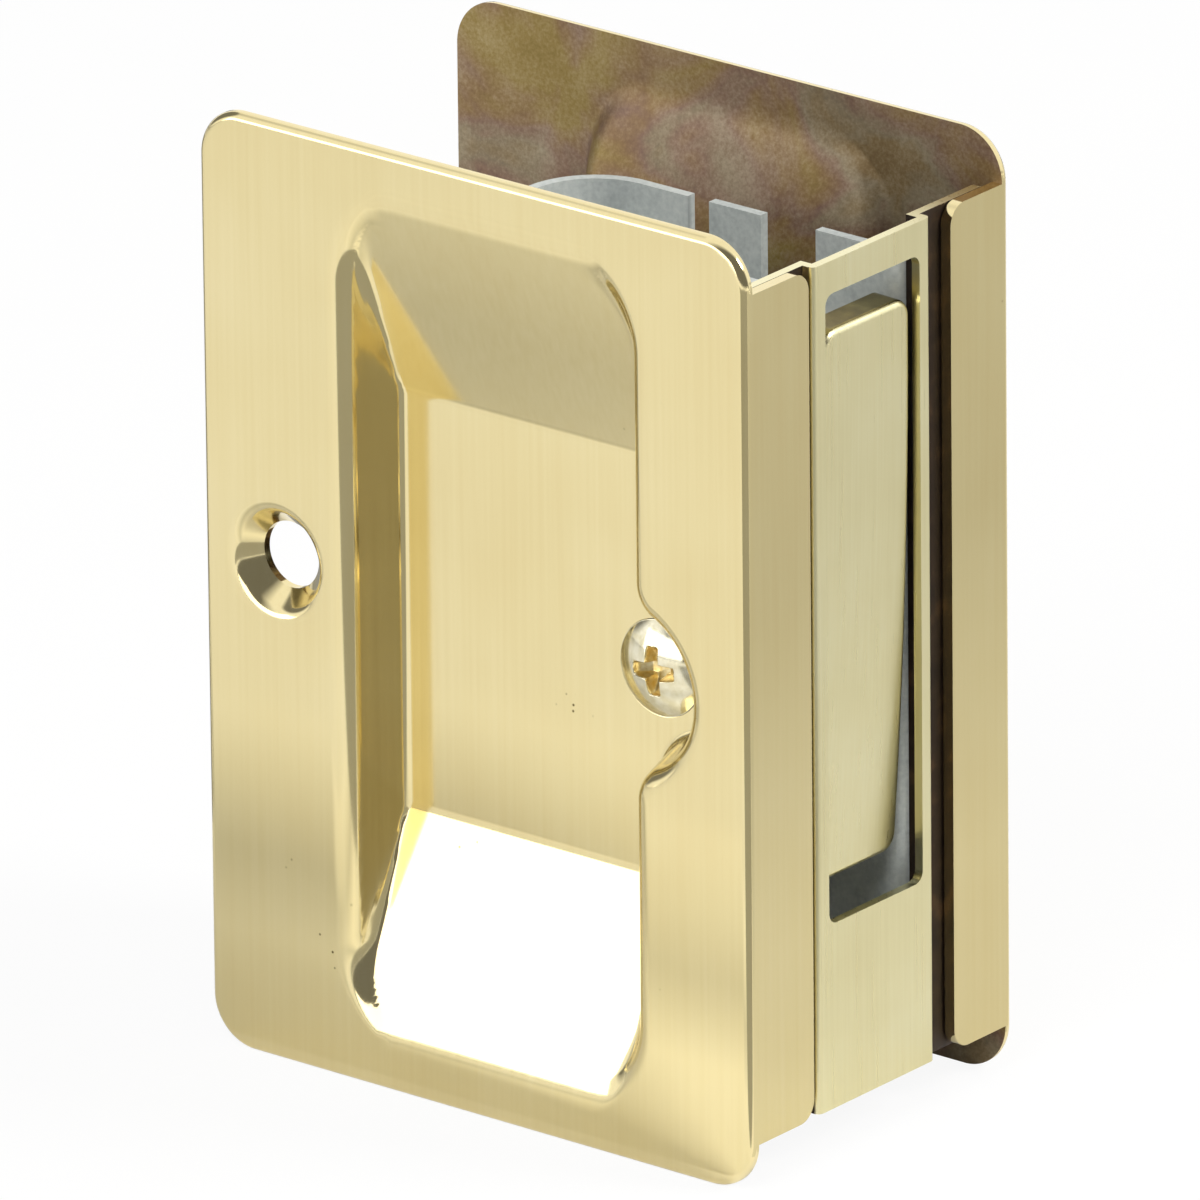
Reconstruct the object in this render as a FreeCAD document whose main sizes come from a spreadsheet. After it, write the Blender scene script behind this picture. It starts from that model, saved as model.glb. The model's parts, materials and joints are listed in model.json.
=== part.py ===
# Pocket door pull for the edge of a sliding door: two cupped side plates, an edge plate
# with a rocking edge pull, and a bent strap between them. Millimetres, +Z up, origin on
# the standing surface below the middle of the pull. +X faces out of the door's edge and
# the front plate faces -Y.
import FreeCAD, Part

import math
import os

from FreeCAD import Placement, Rotation, Vector

doc = FreeCAD.newDocument("pocket_door_pull")

# Driving dimensions
SIZES = [
    ("plate_width", 57.15, "side plate, from its rear edge to the flange's outer face"),
    ("plate_height", 82.55, "side plate, bottom to top"),
    ("plate_sheet", 1.0, "brass sheet of the side plates"),
    ("plate_corner", 4.3, "outline corner of a side plate, and the flange's inset"),
    ("plate_edge_round", 0.75, "rolled outer edge and bend of a side plate"),
    ("bend_inside", 0.4, "inner radius where the flange turns"),
    ("plate_gap", 32.8, "between the side plates, as drawn up on the strap"),
    ("flange_reach", 7.85, "flange, from the plate's outer face to its free edge"),
    ("flange_corner", 1.8, "free corners of the flange"),
    ("cup_from_rear", 14.85, "rear wall of the finger cup, from the plate's rear edge"),
    ("cup_from_edge", 12.05, "front wall of the finger cup, from the flange's outer face"),
    ("cup_end", 4.2, "mouth of the cup, from the plate's top and bottom"),
    ("cup_depth", 6.0, "cup floor below the plate's face"),
    ("cup_ramp", 18.85, "height of each ramp from the mouth to the floor"),
    ("cup_corner", 6.0, "outline corner of the cup"),
    ("cup_draft", 15.0, "slope of the cup's side walls, degrees"),
    ("cup_lip", 1.2, "rounded lip of the cup"),
    ("cup_floor_round", 0.8, "round between the cup's floor and its walls"),
    ("bulge_radius", 7.65, "driver room round the clamp screw, at the mouth"),
    ("bulge_blend", 3.0, "blend between that room and the cup's front wall"),
    ("screw_from_edge", 13.85, "clamp screw axis, from the flange's outer face"),
    ("screw_shank", 2.05, "clamp screw, shank radius"),
    ("screw_length", 9.5, "clamp screw, below the rim of its head"),
    ("screw_head", 4.2, "clamp screw, head radius"),
    ("screw_crown", 1.3, "oval crown of the head above its rim"),
    ("sink_half_angle", 41.0, "half angle of the countersinks, degrees"),
    ("sink_land", 0.7, "straight wall below a countersink"),
    ("seat_clearance", 0.05, "screw in its hole, radial"),
    ("driver_wing", 2.3, "cross recess, reach of a wing from the axis"),
    ("driver_slot", 1.0, "cross recess, width of a wing"),
    ("driver_depth", 2.1, "cross recess, depth from the crown"),
    ("hole_from_rear", 7.7, "wood screw hole, from the plate's rear edge"),
    ("hole_rise", 2.95, "wood screw hole, off the plate's mid height"),
    ("hole_radius", 2.9, "wood screw hole"),
    ("hole_sink", 4.65, "mouth radius of its countersink"),
    ("chassis_shift", 0.75, "strap and edge plate, towards the front plate"),
    ("edge_height", 73.85, "edge plate, bottom to top"),
    ("edge_sheet", 0.8, "brass sheet of the edge plate"),
    ("edge_centre", 15.4, "raised middle of the edge plate"),
    ("edge_round", 0.55, "outer bends of the edge plate"),
    ("edge_corner", 1.2, "outline corners of the edge plate"),
    ("edge_end_gap", 0.4, "wing of the edge plate to the side plate"),
    ("lap_gap", 0.15, "flange over wing"),
    ("window_width", 12.4, "window in the edge plate"),
    ("window_height", 54.75, "window, bottom to top"),
    ("window_rise", 6.7, "middle of the window above the plate's mid height"),
    ("window_corner", 1.0, "corners of the window"),
    ("strap_sheet", 0.9, "zinc-plated steel of the strap"),
    ("strap_inside", 12.0, "between the strap's legs"),
    ("strap_reach", 35.85, "strap, from the flange's outer face to its round end"),
    ("strap_height", 67.85, "strap, bottom to top"),
    ("foot_bend", 1.0, "inner radius where a leg turns out to its foot"),
    ("foot_reach", 5.6, "foot, outwards from its leg"),
    ("narrow_notch_from_edge", 21.7, "narrow notch, near side, from the flange's face"),
    ("narrow_notch_width", 2.2, "narrow notch"),
    ("wide_notch_from_edge", 10.6, "wide notch, near side, from the flange's face"),
    ("wide_notch_width", 5.7, "wide notch"),
    ("notch_depth", 9.0, "notches, from the strap's top and bottom edges"),
    ("collar_radius", 3.2, "drawn collar round the tapped hole"),
    ("collar_length", 1.5, "collar, inwards from its leg"),
    ("pull_length", 48.7, "edge pull, end to end"),
    ("pull_width", 11.4, "edge pull, side to side"),
    ("pull_depth", 3.3, "rim of the edge pull, front to back"),
    ("pull_sheet", 0.9, "brass sheet of the edge pull"),
    ("pull_corner", 1.6, "outline corners of the edge pull"),
    ("pull_edge_round", 0.6, "rolled front edge of the edge pull"),
    ("pull_bow", 600.0, "radius of its slightly bowed face"),
    ("pull_to_pin", 6.6, "face of the edge pull ahead of its pivot"),
    ("pull_set_back", 0.95, "middle of the face behind the edge plate's face"),
    ("pull_rise", 6.37, "pivot above the plate's mid height"),
    ("pull_tilt", 2.1, "rest tilt, upper end outwards, degrees"),
    ("ear_radius", 3.0, "ears of the edge pull round the pivot"),
    ("pin_radius", 1.2, "pivot pin"),
    ("pin_clearance", 0.1, "ears on the pivot pin, radial"),
    ("pin_head", 2.2, "formed heads of the pivot pin, radius"),
    ("pin_head_height", 0.8, "formed heads, height"),
]

sheet = doc.addObject("Spreadsheet::Sheet", "Sizes")
for row, (alias, size, note) in enumerate(SIZES, start=1):
    sheet.set(f"A{row}", str(size))
    sheet.set(f"B{row}", note)
    sheet.setAlias(f"A{row}", alias)
doc.recompute()

ALIASES = sorted((alias for alias, _, _ in SIZES), key=len, reverse=True)
CUT_SPARE = 2.0
CLOSE = 1e-4

# Sizes that follow from the driving ones
OVERALL_DEPTH = "(plate_gap + 2 * plate_sheet)"
HALF_HEIGHT = "(plate_height / 2)"
FLANGE_HALF = "(plate_height / 2 - plate_corner)"
SCREW_X = "(plate_width - screw_from_edge)"
CUP_RIGHT = "(plate_width - cup_from_edge)"
CUP_HALF = "(plate_height / 2 - cup_end)"
WALL_GROWTH = "(plate_sheet / cos(cup_draft * 1deg))"
RAMP_GROWTH = "(plate_sheet * sqrt(1 + cup_depth ^ 2 / cup_ramp ^ 2))"
SINK_GROWTH = "(plate_sheet / cos(sink_half_angle * 1deg))"
SINK_SLOPE = "tan(sink_half_angle * 1deg)"
SEAT_RADIUS = "(screw_head + seat_clearance)"
SHANK_HOLE = "(screw_shank + seat_clearance)"
WING_FACE = "(plate_sheet + lap_gap)"
WING_BACK = "(plate_sheet + lap_gap + edge_sheet)"
LEG_LINE = "(strap_inside / 2 + strap_sheet / 2)"
LEG_OUTSIDE = "(strap_inside / 2 + strap_sheet)"
PIN_FROM_EDGE = "(pull_to_pin + pull_set_back)"


def linked(text):
    """The expression with every size name pointing at its cell."""
    words = text
    for alias in ALIASES:
        words = words.replace(alias, f"<<{ALIASES.index(alias)}>>")
    for place, alias in enumerate(ALIASES):
        words = words.replace(f"<<{place}>>", f"Sizes.{alias}")
    return words


def value(text):
    """The number that an expression of sizes gives now."""
    found = sheet.evalExpression(linked(text))
    return float(getattr(found, "Value", found))


def bind(thing, **properties):
    """Tie properties of an object to expressions of sizes."""
    for name, text in properties.items():
        thing.setExpression(name.replace("__", "."), linked(text))


def new_body(name):
    return doc.addObject("PartDesign::Body", name)


def new_sketch(body, role, name, offset=None):
    """A sketch on one of the body's own origin planes, moved along its normal by offset."""
    sketch = body.newObject("Sketcher::SketchObject", name)
    plane = next(item for item in body.Origin.OriginFeatures if item.Role == role)
    sketch.AttachmentSupport = [(plane, "")]
    sketch.MapMode = "FlatFace"
    if offset:
        sketch.setExpression("AttachmentOffset.Base.z", linked(offset))
    return sketch


def hold(sketch, line, end, across, up):
    """Fix one end of a line at an expression for each of its two coordinates."""
    for kind, axis, text in (("DistanceX", -2, across), ("DistanceY", -1, up)):
        size = value(text)
        if abs(size) < CLOSE:
            sketch.addConstraint(Sketcher.Constraint("PointOnObject", line, end, axis))
            continue
        ends = (-1, 1, line, end) if size > 0 else (line, end, -1, 1)
        index = sketch.addConstraint(Sketcher.Constraint(kind, *ends, abs(size)))
        sketch.setExpression(f"Constraints[{index}]", linked(text if size > 0 else f"-({text})"))


def polygon(sketch, corners):
    """A closed outline of straight lines through corners given as expressions."""
    spots = [Vector(value(across), value(up), 0) for across, up in corners]
    first = sketch.GeometryCount
    count = len(spots)
    for place in range(count):
        sketch.addGeometry(Part.LineSegment(spots[place], spots[(place + 1) % count]))
    for place in range(count):
        following = first + (place + 1) % count
        sketch.addConstraint(Sketcher.Constraint("Coincident", first + place, 2, following, 1))
    for place, (across, up) in enumerate(corners):
        hold(sketch, first + place, 1, across, up)


def box_corners(left, right, low, high):
    return [(left, low), (right, low), (right, high), (left, high)]


def circle(sketch, across, up, radius):
    """A full circle whose centre and radius are expressions."""
    centre = Vector(value(across), value(up), 0)
    index = sketch.addGeometry(Part.Circle(centre, Vector(0, 0, 1), value(radius)))
    hold(sketch, index, 3, across, up)
    bound = sketch.addConstraint(Sketcher.Constraint("Radius", index, value(radius)))
    sketch.setExpression(f"Constraints[{bound}]", linked(radius))


def pad(body, sketch, length, reverse=False, taper=None, middle=False):
    feature = body.newObject("PartDesign::Pad", sketch.Name + "_pad")
    feature.Profile = sketch
    feature.Reversed = reverse
    feature.Midplane = middle
    bind(feature, Length=length)
    if taper:
        bind(feature, TaperAngle=taper)
    doc.recompute()
    return feature


def pocket(body, sketch, length, middle=False, reverse=False):
    """A cut that has to take material away."""
    before = body.Shape.Volume
    feature = body.newObject("PartDesign::Pocket", sketch.Name + "_cut")
    feature.Profile = sketch
    feature.Midplane = middle
    feature.Reversed = reverse
    bind(feature, Length=length)
    doc.recompute()
    if not body.Shape.Volume < before:
        raise RuntimeError(f"{sketch.Name} cut nothing")
    return feature


def round_edges(body, name, radius, wanted):
    """A fillet on the edges of the body's tip that wanted picks by their middle and ends."""
    tip = body.Tip
    names = []
    for number, edge in enumerate(tip.Shape.Edges, start=1):
        middle = edge.valueAt((edge.FirstParameter + edge.LastParameter) / 2)
        ends = [vertex.Point for vertex in edge.Vertexes]
        if wanted(middle, ends):
            names.append(f"Edge{number}")
    if not names:
        raise RuntimeError(f"{name} found no edge")
    feature = body.newObject("PartDesign::Fillet", name)
    feature.Base = (tip, names)
    feature.UseAllEdges = False
    bind(feature, Radius=radius)
    doc.recompute()
    return feature


def along(ends, axis):
    """True for a straight run whose ends differ mostly along one axis."""
    if len(ends) != 2:
        return False
    step = ends[1] - ends[0]
    return abs(step[axis]) > 0.9 * step.Length


def all_at(points, axis, level):
    return all(abs(point[axis] - level) < CLOSE for point in points)


def mirrored(body, features, role):
    """The features again on the other side of one of the body's origin planes."""
    feature = body.newObject("PartDesign::Mirrored", body.Name + "_pair")
    feature.Originals = features
    plane = next(item for item in body.Origin.OriginFeatures if item.Role == role)
    feature.MirrorPlane = (plane, [""])
    body.Tip = feature
    doc.recompute()
    return feature


def round_tool(kind, name, across, up, depth, **sizes):
    """A cone or cylinder with its axis along +Y of the plate, starting at a depth."""
    tool = doc.addObject(f"Part::{kind}", name)
    tool.Placement = Placement(Vector(), Rotation(Vector(1, 0, 0), -90))
    bind(tool, Placement__Base__x=across, Placement__Base__y=depth, Placement__Base__z=up, **sizes)
    return tool


def joined(kind, name, parts):
    union = doc.addObject(kind, name)
    union.Shapes = parts
    return union


import Sketcher


# Side plate: flat blank with its flange, before the cup is drawn
def plate_blank(side):
    body = new_body(f"{side}_blank")
    outline = new_sketch(body, "XZ_Plane", f"{side}_outline")
    polygon(outline, box_corners("0", "plate_width", f"-{HALF_HEIGHT}", HALF_HEIGHT))
    pad(body, outline, "plate_sheet", reverse=True)
    round_edges(body, f"{side}_corners", "plate_corner", lambda mid, ends: along(ends, 1))
    flange = new_sketch(body, "XZ_Plane", f"{side}_flange")
    polygon(flange, box_corners("plate_width - plate_sheet", "plate_width",
                                f"-{FLANGE_HALF}", FLANGE_HALF))
    pad(body, flange, "flange_reach", reverse=True)
    reach = value("flange_reach")
    round_edges(body, f"{side}_flange_corners", "flange_corner",
                lambda mid, ends: along(ends, 0) and all_at(ends, 1, reach))
    thick = value("plate_sheet")
    bend = value("plate_width - plate_sheet")
    round_edges(body, f"{side}_bend_inside", "bend_inside",
                lambda mid, ends: along(ends, 2) and all_at(ends + [mid], 1, thick)
                and all_at(ends, 0, bend))
    round_edges(body, f"{side}_rolled_edge", "plate_edge_round",
                lambda mid, ends: all_at(ends + [mid], 1, 0.0))
    return body


# Form of the finger cup: grown is nothing for the hollow and the sheet's thickness for
# the back of the drawn form
def cup_form(name, hollow):
    grow = "0" if hollow else WALL_GROWTH
    sheet_under = "0" if hollow else "plate_sheet"
    depth = f"(cup_depth + {sheet_under})"
    body = new_body(name)
    if hollow:
        above = new_sketch(body, "XZ_Plane", f"{name}_above")
        polygon(above, box_corners("0", "plate_width", f"-{HALF_HEIGHT}", HALF_HEIGHT))
        pad(body, above, "cup_depth")
    mouth = new_sketch(body, "XZ_Plane", f"{name}_mouth")
    polygon(mouth, box_corners(f"cup_from_rear - {grow}", f"{CUP_RIGHT} + {grow}",
                               f"-{CUP_HALF} - {grow}", f"{CUP_HALF} + {grow}"))
    pad(body, mouth, depth, reverse=True, taper="-cup_draft")
    bottom = value(depth)

    def leans_in(mid, ends):
        return along(ends, 1) and abs(mid.y - bottom / 2) < CLOSE
    round_edges(body, f"{name}_corners", f"cup_corner + {grow}", leans_in)
    room = new_sketch(body, "XZ_Plane", f"{name}_room")
    circle(room, SCREW_X, "0", f"bulge_radius + {grow}")
    pad(body, room, depth, reverse=True, taper="-cup_draft")
    wall = value(f"{CUP_RIGHT} + {grow}") - bottom * math.tan(math.radians(value("cup_draft")))
    room_top = value(f"bulge_radius + {grow}") + CUT_SPARE

    def beside_room(mid, ends):
        spread = [abs(point.y) for point in ends]
        return (len(ends) == 2 and max(spread) > bottom - CLOSE and min(spread) < CLOSE
                and mid.x > wall - CUT_SPARE and abs(mid.z) < room_top)
    round_edges(body, f"{name}_blend", f"bulge_blend - {grow}", beside_room)
    if hollow:
        far = value("plate_width")
        high = value(HALF_HEIGHT)
        round_edges(body, f"{name}_lip", "cup_lip",
                    lambda mid, ends: all_at(ends + [mid], 1, 0.0) and CLOSE < mid.x < far - CLOSE
                    and abs(mid.z) < high - CLOSE)
    round_edges(body, f"{name}_floor", f"cup_floor_round + {sheet_under}",
                lambda mid, ends: all_at(ends + [mid], 1, bottom))
    ramps = new_sketch(body, "YZ_Plane", f"{name}_ramps")
    start = "0" if hollow else "plate_sheet"
    slope = "cup_ramp / cup_depth"
    shift = "0" if hollow else RAMP_GROWTH
    for sign in ("", "-"):
        top = f"{CUP_HALF} + ({shift} - {start}) * {slope}"
        foot = f"{CUP_HALF} + ({shift} - {depth}) * {slope}"
        beyond = f"{HALF_HEIGHT} + cup_end"
        polygon(ramps, [(start, f"{sign}({top})"), (depth, f"{sign}({foot})"),
                        (f"{depth} + cup_end", f"{sign}({foot})"),
                        (f"{depth} + cup_end", f"{sign}({beyond})"), (start, f"{sign}({beyond})")])
    pocket(body, ramps, "4 * plate_width", middle=True)
    return body


# Side plate: blank with the drawn cup, the dimpled wood screw hole and the dimpled seat
# of the clamp screw in the cup's floor
def side_plate(side):
    blank = plate_blank(side)
    back = cup_form(f"{side}_cup_back", False)
    hollow = cup_form(f"{side}_cup_hollow", True)
    holes = (("hole", "hole_from_rear", "hole_rise", "0", "hole_sink", "hole_radius"),
             ("seat", SCREW_X, "0", "cup_depth", SEAT_RADIUS, SHANK_HOLE))
    backs = []
    cuts = []
    for what, across, up, start, mouth, bore in holes:
        sunk = f"(({mouth} - {bore}) / {SINK_SLOPE})"
        whole = f"({sunk} + sink_land)"
        backs.append(round_tool("Cone", f"{side}_{what}_dimple", across, up, start,
                                Radius1=f"{mouth} + {SINK_GROWTH}",
                                Radius2=f"{mouth} + {SINK_GROWTH} - {whole} * {SINK_SLOPE}",
                                Height=whole))
        cuts.append(round_tool("Cone", f"{side}_{what}_sink", across, up, start,
                               Radius1=mouth, Radius2=bore, Height=sunk))
        cuts.append(round_tool("Cylinder", f"{side}_{what}_bore", across, up, start,
                               Radius=bore, Height=f"{whole} + plate_sheet"))
    drawn = joined("Part::MultiFuse", f"{side}_drawn", [blank, back] + backs)
    tools = joined("Part::MultiFuse", f"{side}_tools", [hollow] + cuts)
    plate = doc.addObject("Part::Cut", f"{side}_plate")
    plate.Base = drawn
    plate.Tool = tools
    plate.Label = f"{side}_plate"
    return plate


front_plate = side_plate("front")
bind(front_plate, Placement__Base__x="-plate_width / 2", Placement__Base__y=f"-{OVERALL_DEPTH} / 2",
     Placement__Base__z=HALF_HEIGHT)

# The back plate is the same stamping turned half round the depth axis of the door
back_plate = side_plate("back")
back_plate.Placement = Placement(Vector(), Rotation(Vector(1, 0, 0), 180))
bind(back_plate, Placement__Base__x="-plate_width / 2", Placement__Base__y=f"{OVERALL_DEPTH} / 2",
     Placement__Base__z=HALF_HEIGHT)


# Pieces of the chassis stand on one point: flange face, mid height, middle of the strap
def on_chassis(thing, back="0", rise="0"):
    bind(thing, Placement__Base__x=f"plate_width / 2 - {back}", Placement__Base__y="-chassis_shift",
         Placement__Base__z=f"{HALF_HEIGHT} + {rise}")


# Edge plate: a joggled section along Z, wings behind the flanges, window for the pull
def edge_plate():
    body = new_body("edge_plate")
    half = "(edge_centre / 2)"
    step = f"({half} - edge_sheet)"
    front_end = "(plate_gap / 2 - chassis_shift - edge_end_gap)"
    back_end = "(plate_gap / 2 + chassis_shift - edge_end_gap)"
    section = new_sketch(body, "XY_Plane", "edge_section")
    polygon(section, [(f"-{WING_FACE}", f"-{front_end}"), (f"-{WING_FACE}", f"-{half}"), ("0", f"-{half}"),
                      ("0", half), (f"-{WING_FACE}", half), (f"-{WING_FACE}", back_end),
                      (f"-{WING_BACK}", back_end), (f"-{WING_BACK}", step), ("-edge_sheet", step),
                      ("-edge_sheet", f"-{step}"), (f"-{WING_BACK}", f"-{step}"),
                      (f"-{WING_BACK}", f"-{front_end}")])
    pad(body, section, "edge_height", middle=True)
    round_edges(body, "edge_bends", "edge_round", lambda mid, ends: along(ends, 2) and all_at(ends, 0, 0.0))
    outer = value(f"-{WING_FACE}")
    front_tip = value(f"-{front_end}")
    back_tip = value(back_end)
    round_edges(body, "edge_corners", "edge_corner", lambda mid, ends: along(ends, 0) and mid.x < outer
                and (all_at(ends, 1, front_tip) or all_at(ends, 1, back_tip)))
    window = new_sketch(body, "YZ_Plane", "edge_window")
    polygon(window, box_corners("-window_width / 2", "window_width / 2",
                                "window_rise - window_height / 2", "window_rise + window_height / 2"))
    pocket(body, window, "4 * edge_sheet", middle=True)
    side = value("window_width / 2")
    round_edges(body, "window_corners", "window_corner", lambda mid, ends: along(ends, 0)
                and abs(abs(mid.y) - side) < CLOSE)
    body.Label = "edge_plate"
    on_chassis(body)
    return body


# Chassis strap: strip carried from the round end along a leg to its turned-out foot, and
# its mirror image; notches, tapped collars for the clamp screws, holes for the pivot pin
def chassis_strap():
    body = new_body("chassis_strap")
    foot_line = f"({WING_BACK} + strap_sheet / 2)"
    turn = "(foot_bend + strap_sheet / 2)"
    round_start = f"(strap_reach - {LEG_OUTSIDE})"
    tip = f"({LEG_OUTSIDE} + foot_reach)"
    path = new_sketch(body, "XY_Plane", "strap_path")
    leg, bend, reach = (value(text) for text in (LEG_LINE, turn, round_start))
    foot, end = value(foot_line), value(tip)
    centre = Vector(-reach, 0, 0)
    corner = Vector(-foot - bend, -leg - bend, 0)
    up = Vector(0, 0, 1)
    path.addGeometry(Part.ArcOfCircle(Part.Circle(centre, up, leg), math.pi, 1.5 * math.pi))
    path.addGeometry(Part.LineSegment(Vector(-reach, -leg, 0), Vector(corner.x, -leg, 0)))
    path.addGeometry(Part.ArcOfCircle(Part.Circle(corner, up, bend), 0, 0.5 * math.pi))
    path.addGeometry(Part.LineSegment(Vector(-foot, corner.y, 0), Vector(-foot, -end, 0)))
    for joint in ((0, 2, 1, 1), (1, 2, 2, 2), (2, 1, 3, 1)):
        path.addConstraint(Sketcher.Constraint("Tangent", *joint))
    path.addConstraint(Sketcher.Constraint("Horizontal", 1))
    path.addConstraint(Sketcher.Constraint("Vertical", 3))
    path.addConstraint(Sketcher.Constraint("PointOnObject", 0, 1, -1))
    hold(path, 0, 3, f"-{round_start}", "0")
    hold(path, 3, 2, f"-{foot_line}", f"-{tip}")
    for arc, text in ((0, LEG_LINE), (2, turn)):
        index = path.addConstraint(Sketcher.Constraint("Radius", arc, value(text)))
        path.setExpression(f"Constraints[{index}]", linked(text))
    strip = new_sketch(body, "XZ_Plane", "strap_strip")
    polygon(strip, box_corners("-strap_reach", "-strap_reach + strap_sheet",
                               "-strap_height / 2", "strap_height / 2"))
    doc.recompute()
    bent = body.newObject("PartDesign::AdditivePipe", "strap_bent")
    bent.Profile = strip
    bent.Spine = (path, [])
    doc.recompute()
    ring = new_sketch(body, "XZ_Plane", "strap_collar", offset="strap_inside / 2 - collar_length")
    circle(ring, "-screw_from_edge", "0", "collar_radius")
    collar = pad(body, ring, "collar_length + strap_sheet / 2")
    mirrored(body, [bent, collar], "XZ_Plane")
    holes = new_sketch(body, "XZ_Plane", "strap_holes")
    circle(holes, "-screw_from_edge", "0", SHANK_HOLE)
    circle(holes, f"-{PIN_FROM_EDGE}", "pull_rise", "pin_radius + seat_clearance")
    pocket(body, holes, "4 * strap_inside", middle=True)
    notches = new_sketch(body, "XZ_Plane", "strap_notches")
    for near, width in (("narrow_notch_from_edge", "narrow_notch_width"),
                        ("wide_notch_from_edge", "wide_notch_width")):
        for sign in ("", "-"):
            ends = (f"{sign}(strap_height / 2 - notch_depth)", f"{sign}(strap_height / 2 + notch_depth)")
            polygon(notches, box_corners(f"-({near} + {width})", f"-{near}", *ends))
    pocket(body, notches, "4 * strap_inside", middle=True)
    body.Label = "chassis_strap"
    on_chassis(body)
    return body


# Side view of the edge pull: bowed front, straight ends, open or closed at the rim
def bowed_profile(sketch, inset, rim):
    bow = f"(pull_bow - {inset})"
    half = f"(pull_length / 2 - {inset})"
    radius, reach, back = value(bow), value(half), value(rim)
    face = value("pull_to_pin") - value(inset)
    edge = face - radius + math.sqrt(radius ** 2 - reach ** 2)
    low, high = Vector(edge, -reach, 0), Vector(edge, reach, 0)
    sketch.addGeometry(Part.Arc(low, Vector(face, 0, 0), high))
    sketch.addGeometry(Part.LineSegment(high, Vector(back, reach, 0)))
    sketch.addGeometry(Part.LineSegment(Vector(back, reach, 0), Vector(back, -reach, 0)))
    sketch.addGeometry(Part.LineSegment(Vector(back, -reach, 0), low))
    for joint in ((0, 2, 1, 1), (1, 2, 2, 1), (2, 2, 3, 1), (3, 2, 0, 1)):
        sketch.addConstraint(Sketcher.Constraint("Coincident", *joint))
    sketch.addConstraint(Sketcher.Constraint("Horizontal", 1))
    sketch.addConstraint(Sketcher.Constraint("Horizontal", 3))
    hold(sketch, 2, 1, rim, half)
    hold(sketch, 2, 2, rim, f"-{half}")
    hold(sketch, 0, 3, "pull_to_pin - pull_bow", "0")
    bound = sketch.addConstraint(Sketcher.Constraint("Radius", 0, radius))
    sketch.setExpression(f"Constraints[{bound}]", linked(bow))
    return edge


# Edge pull: a shallow drawn pan with a bowed face and two ears on the pivot pin
def edge_pull():
    body = new_body("edge_pull")
    rim = value("pull_to_pin - pull_depth")
    profile = new_sketch(body, "XZ_Plane", "pull_profile")
    edge = bowed_profile(profile, "0", "(pull_to_pin - pull_depth)")
    pad(body, profile, "pull_width", middle=True)
    round_edges(body, "pull_corners", "pull_corner", lambda mid, ends: along(ends, 0))
    front = edge - value("pull_sheet") / 2
    round_edges(body, "pull_rolled_edge", "pull_edge_round",
                lambda mid, ends: min(point.x for point in ends) > front)
    hollow = new_sketch(body, "XZ_Plane", "pull_hollow")
    bowed_profile(hollow, "pull_sheet", "(pull_to_pin - 2 * pull_depth)")
    pocket(body, hollow, "pull_width - 2 * pull_sheet", middle=True)
    inside = value("pull_width / 2 - pull_sheet")
    round_edges(body, "pull_hollow_corners", "pull_corner - pull_sheet",
                lambda mid, ends: along(ends, 0) and abs(abs(mid.y) - inside) < CLOSE)
    ear = new_sketch(body, "XZ_Plane", "pull_ear", offset="pull_width / 2 - pull_sheet")
    ring = value("ear_radius")
    root = value("pull_to_pin - pull_sheet")
    up = Vector(0, 0, 1)
    ear.addGeometry(Part.ArcOfCircle(Part.Circle(Vector(), up, ring), 0.5 * math.pi, 1.5 * math.pi))
    ear.addGeometry(Part.LineSegment(Vector(0, -ring, 0), Vector(root, -ring, 0)))
    ear.addGeometry(Part.LineSegment(Vector(root, -ring, 0), Vector(root, ring, 0)))
    ear.addGeometry(Part.LineSegment(Vector(root, ring, 0), Vector(0, ring, 0)))
    for joint in ((0, 2, 1, 1), (3, 2, 0, 1)):
        ear.addConstraint(Sketcher.Constraint("Tangent", *joint))
    for joint in ((1, 2, 2, 1), (2, 2, 3, 1)):
        ear.addConstraint(Sketcher.Constraint("Coincident", *joint))
    hold(ear, 0, 3, "0", "0")
    hold(ear, 2, 1, "pull_to_pin - pull_sheet", "-ear_radius")
    hold(ear, 2, 2, "pull_to_pin - pull_sheet", "ear_radius")
    ear_pad = pad(body, ear, "pull_sheet")
    mirrored(body, [ear_pad], "XZ_Plane")
    hole = new_sketch(body, "XZ_Plane", "pull_pin_hole")
    circle(hole, "0", "0", "pin_radius + pin_clearance")
    pocket(body, hole, "2 * pull_width", middle=True)
    body.Label = "edge_pull"
    body.Placement = Placement(Vector(), Rotation(Vector(0, 1, 0), value("pull_tilt")))
    body.setExpression("Placement.Rotation.Angle", linked("pull_tilt * 1deg"))
    on_chassis(body, PIN_FROM_EDGE, "pull_rise")
    return body


# Pivot pin: turned shank across both legs, with a head formed outside each
def pivot_pin():
    body = new_body("pivot_pin")
    half = new_sketch(body, "XY_Plane", "pin_half")
    end = f"({LEG_OUTSIDE} + pin_head_height)"
    polygon(half, [("0", f"-{end}"), ("pin_head", f"-{end}"), ("pin_head", f"-{LEG_OUTSIDE}"),
                   ("pin_radius", f"-{LEG_OUTSIDE}"), ("pin_radius", LEG_OUTSIDE), ("pin_head", LEG_OUTSIDE),
                   ("pin_head", end), ("0", end)])
    turned = body.newObject("PartDesign::Revolution", "pin_turned")
    turned.Profile = half
    turned.ReferenceAxis = (half, ["V_Axis"])
    turned.Angle = 360
    doc.recompute()
    reach = value(end)
    round_edges(body, "pin_head_rounds", "pin_head_height / 2",
                lambda mid, ends: abs(abs(mid.y) - reach) < CLOSE)
    body.Label = "pivot_pin"
    on_chassis(body, PIN_FROM_EDGE, "pull_rise")
    return body


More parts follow.
